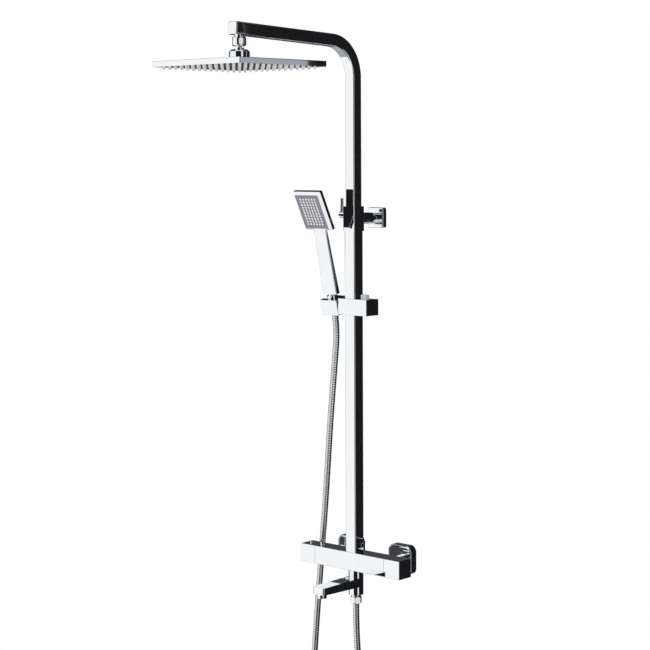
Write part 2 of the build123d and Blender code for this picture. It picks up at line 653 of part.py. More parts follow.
nozzle_places = []
for row in range(NOZZLES):
    for column in range(NOZZLES):
        x = (column - (NOZZLES - 1) / 2) * NOZZLE_PITCH
        y = HEAD_Y + (row - (NOZZLES - 1) / 2) * NOZZLE_PITCH
        nozzle_places.append(Pos(x, y, 0))
face = head_sheet(inner_side - 2 * FACE_GAP, head_under, head_under + FACE_T)
hole = rod_z(NOZZLE_R + 0.05, head_under - 1, head_under + FACE_T + 1, 0, 0)
face -= [place * hole for place in nozzle_places]
save("head_face_plate", face)

mat_low = head_under + FACE_T
nozzle = Pos(0, 0, head_under - NOZZLE_OUT / 2) * Cone(NOZZLE_TIP_R, NOZZLE_R, NOZZLE_OUT)
nozzle += rod_z(NOZZLE_R, head_under, mat_low, 0, 0)
mat = head_sheet(inner_side - 4 * FACE_GAP, mat_low, mat_low + MAT_T)
mat += [place * nozzle for place in nozzle_places]
save("head_nozzle_mat", mat)

gasket = head_sheet(inner_side - 2 * FACE_GAP, mat_low + MAT_T, HEAD_TOP - HEAD_WALL)
gasket -= head_sheet(inner_side - 2 * GASKET_WIDTH, mat_low + MAT_T, HEAD_TOP - HEAD_WALL)
save("head_gasket", gasket)

# ================= spout =================
pillar_low = HOSE_NUT_TOP - PILLAR_THREAD
pillar = rod_z(SPIGOT_R - 0.05, -half_bar, -half_bar + SPIGOT_SUNK, SPOUT_X)
pillar += rod_z(PILLAR_R, pillar_low, -half_bar, SPOUT_X)
pillar -= rod_z(PILLAR_BORE_R, pillar_low, -half_bar + SPIGOT_SUNK, SPOUT_X)
pillar_ring_major = PILLAR_R + RUN_GAP - RING_R
spout_rings = []
for z in SPOUT_RINGS:
    seat = rod_z(PILLAR_R + 1, z - RING_R - 0.1, z + RING_R + 0.1, SPOUT_X)
    pillar -= seat - rod_z(pillar_ring_major - RING_R - 0.05, z - 3, z + 3, SPOUT_X)
    spout_rings.append(Pos(SPOUT_X, AXIS_Y, z) * Torus(pillar_ring_major - 0.03, RING_R))
arm_mid = (ARM_TOP_BACK + ARM_LOW_BACK) / 2
pillar -= rod_y(4.0, AXIS_Y - PILLAR_R, AXIS_Y + PILLAR_R, SPOUT_X, arm_mid)
clip_z = SPOUT_BOTTOM - 0.3
clip_groove = rod_z(PILLAR_R + 1, clip_z - 1.2, clip_z, SPOUT_X)
pillar -= clip_groove - rod_z(PILLAR_R - 1.0, clip_z - 2, clip_z, SPOUT_X)
save("spout_pillar", pillar)
save("spout_o_rings", *spout_rings)
clip = rod_z(PILLAR_R + 2.2, clip_z - 1.1, clip_z - 0.1, SPOUT_X)
clip -= rod_z(PILLAR_R - 0.9, clip_z - 2, clip_z, SPOUT_X)
clip -= block(SPOUT_X - 2.5, SPOUT_X + 2.5, AXIS_Y, AXIS_Y + 20, clip_z - 2, clip_z)
save("spout_retaining_ring", clip)


def spout_arm(inset):
    """The flat spout arm, as seen from the side, inset on every face."""
    back = AXIS_Y
    front = AXIS_Y - SPOUT_REACH + inset
    outline = Polyline(
        (back, ARM_TOP_BACK - inset),
        (front, ARM_TOP_FRONT - inset),
        (front, ARM_LOW_FRONT + inset),
        (back, ARM_LOW_BACK + inset),
        close=True,
    )
    side_plane = Plane((SPOUT_X, 0, 0), x_dir=(0, 1, 0), z_dir=(1, 0, 0))
    return extrude(side_plane * make_face(outline), SPOUT_R - inset, both=True)


spout = spout_arm(0)
spout = fillet(spout.edges().filter_by(Axis.Z).group_by(Axis.Y)[0], SPOUT_TIP_ROUND)
spout += rod_z(SPOUT_R, SPOUT_BOTTOM, -half_bar - SPOUT_GAP, SPOUT_X)
spout -= rod_z(PILLAR_R + RUN_GAP, SPOUT_BOTTOM, -half_bar, SPOUT_X)
aerator_y = AXIS_Y - AERATOR_REACH
inner_arm = spout_arm(SPOUT_WALL)
inner_arm -= rod_z(SPOUT_R - 3, SPOUT_BOTTOM, -half_bar, SPOUT_X)
throat = rod_y(4.0, AXIS_Y - SPOUT_R + 2.5, AXIS_Y - PILLAR_R + 2, SPOUT_X, arm_mid)
aerator_low = ARM_LOW_FRONT - AERATOR_DROP
drain = rod_z(AERATOR_R - 3, ARM_LOW_FRONT - 3, arm_mid, SPOUT_X, aerator_y)
spout -= inner_arm + throat + drain
save("spout_body", spout)
aerator = rod_z(AERATOR_R, aerator_low, ARM_LOW_FRONT - 0.6, SPOUT_X, aerator_y)
aerator = fillet(aerator.edges().group_by(Axis.Z)[0], 1.0)
aerator += rod_z(AERATOR_R - 3.1, ARM_LOW_FRONT - 1, ARM_LOW_FRONT + 2.5, SPOUT_X, aerator_y)
aerator -= rod_z(AERATOR_R - 2.5, aerator_low - 1, aerator_low + 1.5, SPOUT_X, aerator_y)
for ring, count in ((0.0, 1), (3.4, 6), (6.4, 12)):
    for turn in range(count):
        angle = 2 * math.pi * turn / count
        x = SPOUT_X + ring * math.cos(angle)
        y = aerator_y + ring * math.sin(angle)
        aerator -= rod_z(1.1, aerator_low, ARM_LOW_FRONT + 3, x, y)
save("aerator", aerator)

# ================= lower hose end =================
nut_low = HOSE_NUT_TOP - HOSE_NUT_LENGTH
hex_face = Plane((SPOUT_X, AXIS_Y, nut_low)) * RegularPolygon(HOSE_NUT_R, 6)
hose_nut = extrude(hex_face, HOSE_NUT_LENGTH)
nut_round = chamfer(rod_z(HOSE_NUT_R - 0.3, nut_low, HOSE_NUT_TOP, SPOUT_X).edges(), 2.4)
hose_nut &= nut_round
hose_nut -= rod_z(PILLAR_R + 0.05, pillar_low, HOSE_NUT_TOP, SPOUT_X)
hose_nut -= rod_z(HOSE_R + 0.6, nut_low, HOSE_NUT_TOP, SPOUT_X)
save("hose_lower_nut", hose_nut)
ferrule = rod_z(HOSE_R + 0.5, HOSE_END_Z, pillar_low, SPOUT_X)
ferrule -= rod_z(FERRULE_BORE_R, HOSE_END_Z, pillar_low, SPOUT_X)
save("hose_lower_ferrule", ferrule)

# ================= slider =================
slider_top = SLIDER_Z + SLIDER_HEIGHT / 2
slider_low = SLIDER_Z - SLIDER_HEIGHT / 2
liner_side = LOWER_SIDE + 2 * (LINER_T + SLIDE_GAP)
body = block(SLIDER_LEFT, SLIDER_RIGHT, AXIS_Y - half_bar, AXIS_Y + half_bar, slider_low, slider_top)
body = fillet(body.edges(), EDGE_ROUND * 0.6)
body -= square_bar(liner_side + 2 * SLIDE_GAP, TUBE_CORNER + 1, slider_low, slider_top)
button_x0 = BUTTON_X - BUTTON_WIDTH / 2
button_x1 = BUTTON_X + BUTTON_WIDTH / 2
button_y0 = BUTTON_Y - BUTTON_DEPTH / 2
button_y1 = BUTTON_Y + BUTTON_DEPTH / 2
spring_floor = slider_top - BUTTON_IN - SPRING_LENGTH
body -= block(button_x0 - BUTTON_GAP, button_x1 + BUTTON_GAP, button_y0 - BUTTON_GAP,
              button_y1 + BUTTON_GAP, spring_floor, slider_top + 1)
shoe_start = LOWER_SIDE / 2 + 0.15
shoe_end = shoe_start + SHOE_LENGTH


def shoe_block(start, end, gap):
    """The brake shoe's block, or with a gap the pocket that it slides in."""
    half_height = SHOE_HEIGHT / 2 + gap
    half_width = SHOE_HALF + gap
    return block(start, end, AXIS_Y - half_width, AXIS_Y + half_width,
                 SLIDER_Z - half_height, SLIDER_Z + half_height)


body -= shoe_block(shoe_start, shoe_end + SHOE_GAP, SHOE_GAP)
body -= rod_x(PIN_R, SLIDER_LEFT, SLIDER_LEFT + PIN_IN_SLIDER, PIVOT_Y, SLIDER_Z)
save("slider_body", body)
liner = square_bar(liner_side, TUBE_CORNER + 1, slider_low + 0.5, slider_top - 0.5)
liner -= square_bar(LOWER_SIDE + 2 * SLIDE_GAP, TUBE_CORNER, slider_low, slider_top)
liner -= shoe_block(0, LOWER_SIDE, SHOE_GAP)
save("slider_liner", liner)
save("slider_brake_shoe", shoe_block(shoe_start, shoe_end, 0))
pin = rod_x(PIN_R, SLIDER_LEFT - 1 - PIN_IN_HOLDER, SLIDER_LEFT + PIN_IN_SLIDER, PIVOT_Y, SLIDER_Z)
save("holder_pivot_pin", pin)
washer = rod_x(PIN_R + 4.5, SLIDER_LEFT - FRICTION_WASHER, SLIDER_LEFT, PIVOT_Y, SLIDER_Z)
washer -= rod_x(PIN_R, SLIDER_LEFT - 2, SLIDER_LEFT, PIVOT_Y, SLIDER_Z)
save("holder_friction_washer", washer)

button = block(button_x0, button_x1, button_y0, button_y1,
               slider_top - BUTTON_IN, slider_top + BUTTON_ABOVE)
button = fillet(button.edges().filter_by(Axis.Z), 1.5)
button = fillet(button.edges().group_by(Axis.Z)[-1], 1.0)
save("release_button", button)
spring_rise = SPRING_LENGTH - 2 * (SPRING_WIRE + SPRING_GAP)
spring_low = spring_floor + SPRING_WIRE + SPRING_GAP
coil = Pos(BUTTON_X, BUTTON_Y, spring_low) * Helix(spring_rise / SPRING_TURNS, spring_rise, SPRING_R)
wire = Plane(origin=coil @ 0, z_dir=coil % 0) * Circle(SPRING_WIRE)
save("release_spring", sweep(wire, path=coil))

# ================= holder =================
holder_right = SLIDER_LEFT - 1.0
holder_low = SLIDER_Z - HOLDER_HEIGHT / 2
holder_high = SLIDER_Z + HOLDER_HEIGHT / 2


def cone_radius(height):
    """Radius of the conical nut at a height above the pivot level."""
    share = (height + CONE_BELOW) / (CONE_ABOVE + CONE_BELOW)
    return CONE_LOW_R + share * (CONE_TOP_R - CONE_LOW_R)


def taper(gap, low, high):
    """A cone about the handset axis that follows the nut, plus a gap."""
    height = high - low
    middle = Pos(HANDSET_X, PIVOT_Y, SLIDER_Z + (low + high) / 2)
    return middle * Cone(cone_radius(low) + gap, cone_radius(high) + gap, height)


half_holder = HOLDER_HEIGHT / 2
holder = block(HOLDER_LEFT, holder_right, PIVOT_Y - HOLDER_DEPTH / 2, PIVOT_Y + HOLDER_DEPTH / 2,
               holder_low, holder_high)
holder = fillet(holder.edges(), EDGE_ROUND * 0.6)
liner_gap = CONE_GAP + CUP_LINER_T
holder -= taper(liner_gap + 0.1, -half_holder - 1, half_holder + 1)
holder -= block(HOLDER_LEFT - 1, HANDSET_X, PIVOT_Y - HOLDER_SLOT / 2, PIVOT_Y + HOLDER_SLOT / 2,
                holder_low - 1, holder_high + 1)
holder -= rod_x(PIN_R + RUN_GAP, holder_right - PIN_IN_HOLDER - 0.5, holder_right, PIVOT_Y, SLIDER_Z)
save("holder_body", tilted(holder))
cup = taper(liner_gap, -half_holder + 0.2, half_holder - 0.2)
cup -= taper(CONE_GAP, -half_holder - 1, half_holder + 1)
cup -= block(HOLDER_LEFT, HANDSET_X, PIVOT_Y - HOLDER_SLOT / 2, PIVOT_Y + HOLDER_SLOT / 2,
             holder_low, holder_high)
save("holder_liner", tilted(cup))

# ================= handset =================
def handset_rod(radius, low, high):
    """A cylinder about the handset axis, by heights above the pivot level."""
    return rod_z(radius, SLIDER_Z + low, SLIDER_Z + high, HANDSET_X, PIVOT_Y)


def handset_section(height, size, offset, corner):
    """A rounded rectangle across the handset at one height."""
    plane = Plane((HANDSET_X, PIVOT_Y + offset, SLIDER_Z + height))
    return plane * RectangleRounded(size[0], size[1], corner)


def shrunk(size, wall):
    """A section's width and depth, less a wall all round."""
    return (size[0] - 2 * wall, size[1] - 2 * wall)


pad_y = PIVOT_Y - HANDLE_LOW[1] / 2 + PAD_TUCK
pad_z = SLIDER_Z + PAD_START
pad_hinge = Axis((0, pad_y, pad_z), (1, 0, 0))


def pad_block(width, y0, y1, z0, z1):
    """A block in the head's own frame: y from its front edge, z from its foot."""
    return block(HANDSET_X - width / 2, HANDSET_X + width / 2, pad_y + y0, pad_y + y1,
                 pad_z + z0, pad_z + z1)


def leaned(shape):
    """Lean a piece of the head further forward than the handle."""
    return shape.rotate(pad_hinge, HEAD_LEAN)


handle = loft([
    handset_section(HANDLE_START, HANDLE_LOW, -0.5, HANDLE_CORNER),
    handset_section(HANDLE_END, HANDLE_HIGH, -1.4, HANDLE_CORNER),
])
pad = pad_block(PAD_WIDTH, -PAD_RISE, PAD_BAND, 0, PAD_LENGTH)
pad = chamfer(pad.edges().group_by(Axis.Y)[0], PAD_RISE - 0.01)
pad = fillet(pad.edges().group_by(Axis.Y)[-1], 1.2)
pad = leaned(pad)
grey_width = PAD_WIDTH - 2 * PAD_RISE - 2 * FRAME_EDGE
grey_low = PAD_RISE + FRAME_EDGE
grey_high = PAD_LENGTH - PAD_RISE - FRAME_EDGE
pocket = leaned(pad_block(grey_width, -PAD_RISE - 1, PAD_BAND - POCKET_DEPTH, grey_low, grey_high))
waterway = loft([
    handset_section(HANDLE_START + 6, shrunk(HANDLE_LOW, HANDLE_WALL + 0.3), -0.5, 0.8),
    handset_section(HANDLE_END + 4, shrunk(HANDLE_HIGH, HANDLE_WALL), -1.4, 0.8),
])
handset = handle + pad
handset += handset_rod(NIPPLE_R, NIPPLE_START, HANDLE_START)
handset = handset - waterway - pocket
handset -= handset_rod(WATER_R, NIPPLE_START, HANDLE_START + 8)
save("handset_body", tilted(handset))

plate_front = -PAD_RISE + 0.3
spray_holes = []
spray_jets = []
centre_z = (grey_low + grey_high) / 2
for row in range(SPRAY_ROWS):
    for column in range(SPRAY_COLUMNS):
        x = HANDSET_X + (column - (SPRAY_COLUMNS - 1) / 2) * SPRAY_PITCH
        z = centre_z + (row - (SPRAY_ROWS - 1) / 2) * SPRAY_ROW_PITCH
        half = SPRAY_SIZE / 2
        jet = block(x - half, x + half, pad_y + plate_front - SPRAY_PROUD, pad_y + plate_front + GREY_T,
                    pad_z + z - half, pad_z + z + half)
        spray_jets.append(jet)
grey = pad_block(grey_width - 2 * GREY_GAP, plate_front, plate_front + GREY_T,
                 grey_low + GREY_GAP, grey_high - GREY_GAP)
grey -= spray_jets
save("handset_face_plate", tilted(leaned(grey)))
jet_mat = pad_block(grey_width - 4, plate_front + GREY_T, plate_front + GREY_T + SPRAY_MAT_T,
                    grey_low + 2, grey_high - 2)
jet_mat += spray_jets
save("handset_nozzles", tilted(leaned(jet_mat)))

cone_nut = taper(0, -CONE_BELOW, CONE_ABOVE)
cone_nut = fillet(cone_nut.edges().group_by(Axis.Z)[-1], 1.0)
cone_nut -= handset_rod(NIPPLE_R + 0.05, NIPPLE_START, CONE_ABOVE)
cone_nut -= handset_rod(HOSE_R + 0.9, -CONE_BELOW, NIPPLE_START)
save("hose_cone_nut", tilted(cone_nut))
upper_ferrule = handset_rod(HOSE_R + 0.4, HOSE_EXIT, NIPPLE_START - 0.2)
upper_ferrule -= handset_rod(FERRULE_BORE_R, HOSE_EXIT, NIPPLE_START)
save("hose_upper_ferrule", tilted(upper_ferrule))

# ================= hose =================
lean_angle = math.radians(TILT)
drop = -HOSE_EXIT + HOSE_START_GAP
hose_start = (HANDSET_X, PIVOT_Y + drop * math.sin(lean_angle), SLIDER_Z - drop * math.cos(lean_angle))
first_bend = (HANDSET_X, hose_start[1] + FIRST_RUN * math.sin(lean_angle),
              hose_start[2] - FIRST_RUN * math.cos(lean_angle))
hose_points = [
    hose_start,
    first_bend,
    (-78.0, -61.0, 430.0),
    (-103.0, -49.5, 290.0),
    (-121.0, -45.0, 120.0),
    (-136.0, -45.5, -25.0),
    (-143.0, -53.0, -155.0),
    (-145.0, -63.0, -275.0),
    (-142.0, -70.0, -393.0),
    (-96.0, -76.0, -441.0),
    (-30.0, -81.0, -443.0),
    (17.0, -84.0, -397.0),
    (16.0, -85.5, -280.0),
    (SPOUT_X, AXIS_Y, -162.0),
    (SPOUT_X, AXIS_Y, HOSE_END_Z),
]


def bend_radii(points):
    """The largest even arc for each corner, from its shorter run and its turn."""
    radii = []
    for before, corner, after in zip(points, points[1:], points[2:]):
        run_in = Vector(*corner) - Vector(*before)
        run_out = Vector(*after) - Vector(*corner)
        turn = math.radians(run_in.get_angle(run_out))
        shorter = min(run_in.length, run_out.length)
        radii.append(0.45 * shorter / math.tan(turn / 2))
    return radii


hose_radii = bend_radii(hose_points)
hose_path = FilletPolyline(*hose_points, radius=hose_radii)
hose_face = Plane(origin=hose_path @ 0, z_dir=hose_path % 0) * Circle(HOSE_R)
hose = sweep(hose_face, path=hose_path)
save("hose", hose)
print("hose radii", [round(radius) for radius in hose_radii])
print("hose length", round(hose_path.length, 1))
print("hose volume over section times length",
      round(hose.volume / (math.pi * HOSE_R ** 2 * hose_path.length), 4))
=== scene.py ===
import json
import math

import bpy
import bmesh
from mathutils import Matrix, Vector


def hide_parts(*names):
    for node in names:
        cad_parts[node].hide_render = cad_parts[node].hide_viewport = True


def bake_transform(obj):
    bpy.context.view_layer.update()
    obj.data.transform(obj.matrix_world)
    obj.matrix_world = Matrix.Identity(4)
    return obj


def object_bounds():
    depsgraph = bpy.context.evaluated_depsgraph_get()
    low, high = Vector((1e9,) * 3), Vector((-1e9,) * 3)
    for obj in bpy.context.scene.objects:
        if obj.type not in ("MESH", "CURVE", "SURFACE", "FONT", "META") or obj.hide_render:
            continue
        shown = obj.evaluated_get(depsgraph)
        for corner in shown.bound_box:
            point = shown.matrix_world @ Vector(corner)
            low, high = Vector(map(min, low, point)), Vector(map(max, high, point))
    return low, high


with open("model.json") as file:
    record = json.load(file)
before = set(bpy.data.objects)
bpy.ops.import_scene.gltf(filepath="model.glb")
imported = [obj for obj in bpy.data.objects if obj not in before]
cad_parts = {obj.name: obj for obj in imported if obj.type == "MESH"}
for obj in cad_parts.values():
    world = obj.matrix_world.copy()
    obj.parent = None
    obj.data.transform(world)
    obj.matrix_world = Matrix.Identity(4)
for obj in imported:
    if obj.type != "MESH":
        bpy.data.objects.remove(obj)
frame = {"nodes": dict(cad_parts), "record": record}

bl_info = {
    "name": "Rainfall shower column",
    "version": (1, 0, 0),
    "blender": (4, 5, 0),
    "location": "View3D > Sidebar > Shower",
    "description": "Skins, finishes and stage for a square shower column with a rain head and handset",
    "category": "Object",
}

CAD_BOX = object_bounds()

SEAM_HALF = 0.24   # half the seam's width, as a share of one turn
RINGS_A_TURN = 7

# The hose's route, from its nut under the mixer up to the handset, in metres.
HOSE_ROUTE = [
    (0.0035, -0.084, -0.100),
    (0.0035, -0.084, -0.162),
    (0.016, -0.0855, -0.280),
    (0.017, -0.084, -0.397),
    (-0.030, -0.081, -0.443),
    (-0.096, -0.076, -0.441),
    (-0.142, -0.070, -0.393),
    (-0.145, -0.063, -0.275),
    (-0.143, -0.053, -0.155),
    (-0.136, -0.0455, -0.025),
    (-0.121, -0.045, 0.120),
    (-0.103, -0.0495, 0.290),
    (-0.078, -0.061, 0.430),
    (-0.058, -0.073791, 0.514745),
    (-0.058, -0.084763, 0.560446),
]


# The dark cards stand on this line, square to the way they face, in metres from the origin.
CARD_FACES = Vector((0.671, 0.741, 0))
CARD_RUNS = Vector((-0.741, 0.671, 0))
CARD_DISTANCE = 0.75
DARK_CARDS = {
    "dark_card": (-0.345, 0.60, -1.1, 1.7),
    "upper_card": (-0.42, -0.346, 1.165, 1.7),
}

# Name, place, what it aims at, size and power of each soft light.
SOFT_LIGHTS = (
    ("key_light", (-1.6, -2.2, 2.2), (0, -0.2, 0.5), 1.6, 40),
    ("fill_light", (2.4, -1.6, 1.2), (0, -0.2, 0.5), 1.6, 12),
)


# ================= settings =================
class ShowerHoseSettings(bpy.types.PropertyGroup):
    diameter: bpy.props.FloatProperty(
        name="Diameter", description="Outside diameter of the hose",
        default=0.014, unit="LENGTH", precision=4)
    length: bpy.props.FloatProperty(
        name="Length", description="Hose between its two end nuts",
        default=1.44, unit="LENGTH", precision=3)
    lock_pitch: bpy.props.FloatProperty(
        name="Lock pitch", description="Distance between two turns of the folded metal strip",
        default=0.0040, unit="LENGTH", precision=4)
    lock_depth: bpy.props.FloatProperty(
        name="Lock depth", description="Depth of the seam between two turns",
        default=0.0003, unit="LENGTH", precision=4)
    sides: bpy.props.IntProperty(
        name="Sides", description="Points round the hose", default=24, min=8)


class ShowerFinishSettings(bpy.types.PropertyGroup):
    chrome: bpy.props.FloatVectorProperty(
        name="Chrome", description="Tint of the plated pieces",
        subtype="COLOR", size=3, default=(0.90, 0.922, 0.94))
    brass: bpy.props.FloatVectorProperty(
        name="Brass", description="Unplated brass inside the fittings",
        subtype="COLOR", size=3, default=(0.72, 0.50, 0.22))
    steel: bpy.props.FloatVectorProperty(
        name="Steel", description="Bare stainless steel",
        subtype="COLOR", size=3, default=(0.62, 0.62, 0.63))
    silicone: bpy.props.FloatVectorProperty(
        name="Silicone", description="Soft white nozzles",
        subtype="COLOR", size=3, default=(0.86, 0.87, 0.88))
    grey_plate: bpy.props.FloatVectorProperty(
        name="Spray plate", description="Grey plate of the handset",
        subtype="COLOR", size=3, default=(0.21, 0.205, 0.24))
    button: bpy.props.FloatVectorProperty(
        name="Buttons", description="Satin buttons",
        subtype="COLOR", size=3, default=(0.50, 0.50, 0.53))
    rubber: bpy.props.FloatVectorProperty(
        name="Rubber", description="Seals and washers",
        subtype="COLOR", size=3, default=(0.02, 0.02, 0.02))
    dark_plastic: bpy.props.FloatVectorProperty(
        name="Dark plastic", description="Slide liners and bushes",
        subtype="COLOR", size=3, default=(0.03, 0.03, 0.035))
    light_plastic: bpy.props.FloatVectorProperty(
        name="Light plastic", description="Cartridges, valves and the aerator",
        subtype="COLOR", size=3, default=(0.72, 0.72, 0.68))


class ShowerStageSettings(bpy.types.PropertyGroup):
    floor_drop: bpy.props.FloatProperty(
        name="Floor drop", description="Floor below the lowest point of the hose",
        default=0.12, unit="LENGTH")
    floor_radius: bpy.props.FloatProperty(
        name="Floor radius", description="Radius of the round floor",
        default=1.15, unit="LENGTH")
    lens: bpy.props.FloatProperty(
        name="Lens", description="Focal length on a 36 mm sensor", default=98.585)
    azimuth: bpy.props.FloatProperty(
        name="Azimuth", description="Camera's turn round the column, from the front",
        default=math.radians(42.16), unit="ROTATION")
    pitch: bpy.props.FloatProperty(
        name="Pitch", description="Camera's upward tilt",
        default=math.radians(-5.52), unit="ROTATION")
    roll: bpy.props.FloatProperty(
        name="Roll", description="Camera's turn about its own line of sight",
        default=math.radians(-0.29), unit="ROTATION")
    place: bpy.props.FloatVectorProperty(
        name="Camera place", description="Camera's position",
        subtype="TRANSLATION", size=3, default=(2.5654, -3.0121, 0.9012))


# ================= helpers =================
def deselect_all():
    if bpy.context.object is not None and bpy.context.object.mode != "OBJECT":
        bpy.ops.object.mode_set(mode="OBJECT")
    bpy.ops.object.select_all(action="DESELECT")


def named(obj, name):
    obj.name = name
    obj.data.name = name
    return obj


# ================= materials =================
class Nodes:
    """A short way to write one material's nodes."""

    def __init__(self, name):
        self.material = bpy.data.materials.new(name)
        self.material.use_nodes = True
        self.tree = self.material.node_tree
        self.shader = self.tree.nodes["Principled BSDF"]
        self.place = self.add("ShaderNodeTexCoord").outputs["Object"]

    def add(self, kind, **values):
        node = self.tree.nodes.new(kind)
        for key, value in values.items():
            setattr(node, key, value)
        return node

    def link(self, out, into):
        self.tree.links.new(out, into)

    def set(self, **values):
        """Constant values, straight on the shader's sockets."""
        for key, value in values.items():
            self.shader.inputs[key.replace("_", " ")].default_value = value

    def noise(self, scale, detail=3.0, stretch=(1, 1, 1)):
        mapping = self.add("ShaderNodeMapping")
        mapping.inputs["Scale"].default_value = stretch
        self.link(self.place, mapping.inputs["Vector"])
        noise = self.add("ShaderNodeTexNoise")
        noise.inputs["Scale"].default_value = scale
        noise.inputs["Detail"].default_value = detail
        self.link(mapping.outputs["Vector"], noise.inputs["Vector"])
        return noise.outputs["Fac"]

    def spread(self, value, low, high):
        """A noise between two values."""
        ranger = self.add("ShaderNodeMapRange")
        ranger.inputs["From Min"].default_value = 0.3
        ranger.inputs["From Max"].default_value = 0.7
        ranger.inputs["To Min"].default_value = low
        ranger.inputs["To Max"].default_value = high
        self.link(value, ranger.inputs["Value"])
        return ranger.outputs["Result"]

    def tint(self, value, colour, depth):
        """A colour that varies a little, as a share of itself."""
        ramp = self.add("ShaderNodeValToRGB")
        ramp.color_ramp.elements[0].position = 0.3
        ramp.color_ramp.elements[1].position = 0.7
        ramp.color_ramp.elements[0].color = [c * (1 - depth) for c in colour] + [1]
        ramp.color_ramp.elements[1].color = [*colour, 1]
        self.link(value, ramp.inputs["Fac"])
        self.link(ramp.outputs["Color"], self.shader.inputs["Base Color"])

    def bump(self, value, height, strength=0.3):
        bump = self.add("ShaderNodeBump")
        bump.inputs["Strength"].default_value = strength
        bump.inputs["Distance"].default_value = height
        self.link(value, bump.inputs["Height"])
        self.link(bump.outputs["Normal"], self.shader.inputs["Normal"])


def plated(name, colour, roughness, wave, stretch=(1, 1, 1)):
    """Chrome plate: polished, with the faint waviness of the metal under it."""
    m = Nodes(name)
    m.set(Metallic=1.0)
    m.tint(m.noise(35, 2, stretch), colour, 0.03)
    m.link(m.spread(m.noise(220, 4, stretch), roughness, roughness + 0.03), m.shader.inputs["Roughness"])
    m.bump(m.noise(60, 1, stretch), wave, 0.15)
    return m.material


def turned(name, colour, roughness):
    """Machined metal with fine tool marks."""
    m = Nodes(name)
    m.set(Metallic=1.0)
    marks = m.noise(900, 2, (0.15, 0.15, 1))
    m.tint(m.noise(90), colour, 0.18)
    m.link(m.spread(marks, roughness, roughness + 0.15), m.shader.inputs["Roughness"])
    m.bump(marks, 0.00004)
    return m.material


def moulded(name, colour, roughness, grain=1400, height=0.00003, coat=0.0):
    """Moulded plastic or rubber with a fine grain."""
    m = Nodes(name)
    m.set(Coat_Weight=coat, Coat_Roughness=0.15)
    m.tint(m.noise(70), colour, 0.06)
    texture = m.noise(grain, 3)
    m.link(m.spread(texture, roughness, roughness + 0.12), m.shader.inputs["Roughness"])
    m.bump(texture, height)
    return m.material


def silicone(name, colour):
    """Soft silicone: matt, a little translucent."""
    m = Nodes(name)
    m.set(Subsurface_Weight=0.25, Subsurface_Scale=0.002, Subsurface_Radius=(1.0, 0.95, 0.9))
    m.tint(m.noise(180), colour, 0.05)
    m.link(m.spread(m.noise(900), 0.42, 0.55), m.shader.inputs["Roughness"])
    m.bump(m.noise(1500), 0.00003)
    return m.material


def hose_plate(name, colour):
    """The hose's folded strip: chrome, with painted shade that darkens the seams between turns."""
    m = Nodes(name)
    m.set(Metallic=1.0)
    seam = m.add("ShaderNodeAttribute", attribute_name="seam").outputs["Fac"]
    # painted shade: the deeper the seam, the closer the chrome's colour goes to near black
    ramp = m.add("ShaderNodeValToRGB")
    ramp.color_ramp.elements[0].position = 0.10
    ramp.color_ramp.elements[0].color = [*colour, 1]
    ramp.color_ramp.elements[1].position = 0.60
    ramp.color_ramp.elements[1].color = (0.05, 0.05, 0.055, 1)
    m.link(seam, ramp.inputs["Fac"])
    m.link(ramp.outputs["Color"], m.shader.inputs["Base Color"])
    m.link(m.spread(m.noise(500, 3), 0.03, 0.08), m.shader.inputs["Roughness"])
    m.bump(m.noise(700, 2), 0.00001)
    return m.material


def finishes(s):
    """One material for each of the record's slots."""
    return {
        "chromed_brass": plated("chromed_brass_finish", s.chrome, 0.025, 0.00010),
        "chromed_steel": plated("chromed_steel_finish", s.chrome, 0.03, 0.00008, (1, 1, 0.2)),
        "chromed_plastic": plated("chromed_plastic_finish", s.chrome, 0.035, 0.00016),
        "hose_skin": hose_plate("hose_skin_finish", s.chrome),
        "bare_brass": turned("bare_brass_finish", s.brass, 0.25),
        "steel_sheet": turned("steel_sheet_finish", s.steel, 0.22),
        "spring_steel": turned("spring_steel_finish", s.steel, 0.30),
        "white_silicone": silicone("white_silicone_finish", s.silicone),
        "grey_plate": moulded("grey_plate_finish", s.grey_plate, 0.30, 900, 0.00002, 0.3),
        "white_plastic": moulded("white_plastic_finish", s.light_plastic, 0.35),
        "grey_button": moulded("grey_button_finish", s.button, 0.28, 1200, 0.00002, 0.4),
        "black_rubber": moulded("black_rubber_finish", s.rubber, 0.6, 700, 0.00006),
        "dark_plastic": moulded("dark_plastic_finish", s.dark_plastic, 0.45),
        "cartridge_plastic": moulded("cartridge_plastic_finish", s.light_plastic, 0.4),
    }


class SHOWER_OT_finishes(bpy.types.Operator):
    """Give every piece of the frame the finish of its slot"""
    bl_idname = "shower.finishes"
    bl_label = "Finishes"

    def execute(self, context):
        made = finishes(context.scene.shower_finish)
        for part in frame["record"]["subparts"]:
            node = frame["nodes"][part["node"]]
            node.data.materials.clear()
            node.data.materials.append(made[part["material_slot"]])
        return {"FINISHED"}


# ================= hose =================
def route_points(points):
    """Points read from a smooth spline that has the route as its control points."""
    curve = bpy.data.curves.new("hose_route", "CURVE")
    curve.dimensions = "3D"
    curve.resolution_u = 24
    spline = curve.splines.new("NURBS")
    spline.points.add(len(points) - 1)
    for point, place in zip(spline.points, points):
        point.co = (*place, 1.0)
    spline.order_u = 3
    spline.use_endpoint_u = True
    guide = bpy.data.objects.new("hose_route", curve)
    bpy.context.scene.collection.objects.link(guide)
    bpy.context.view_layer.update()
    line = bpy.data.meshes.new_from_object(guide.evaluated_get(bpy.context.evaluated_depsgraph_get()))
    found = [v.co.copy() for v in line.vertices]
    bpy.data.meshes.remove(line)
    bpy.data.objects.remove(guide)
    return found


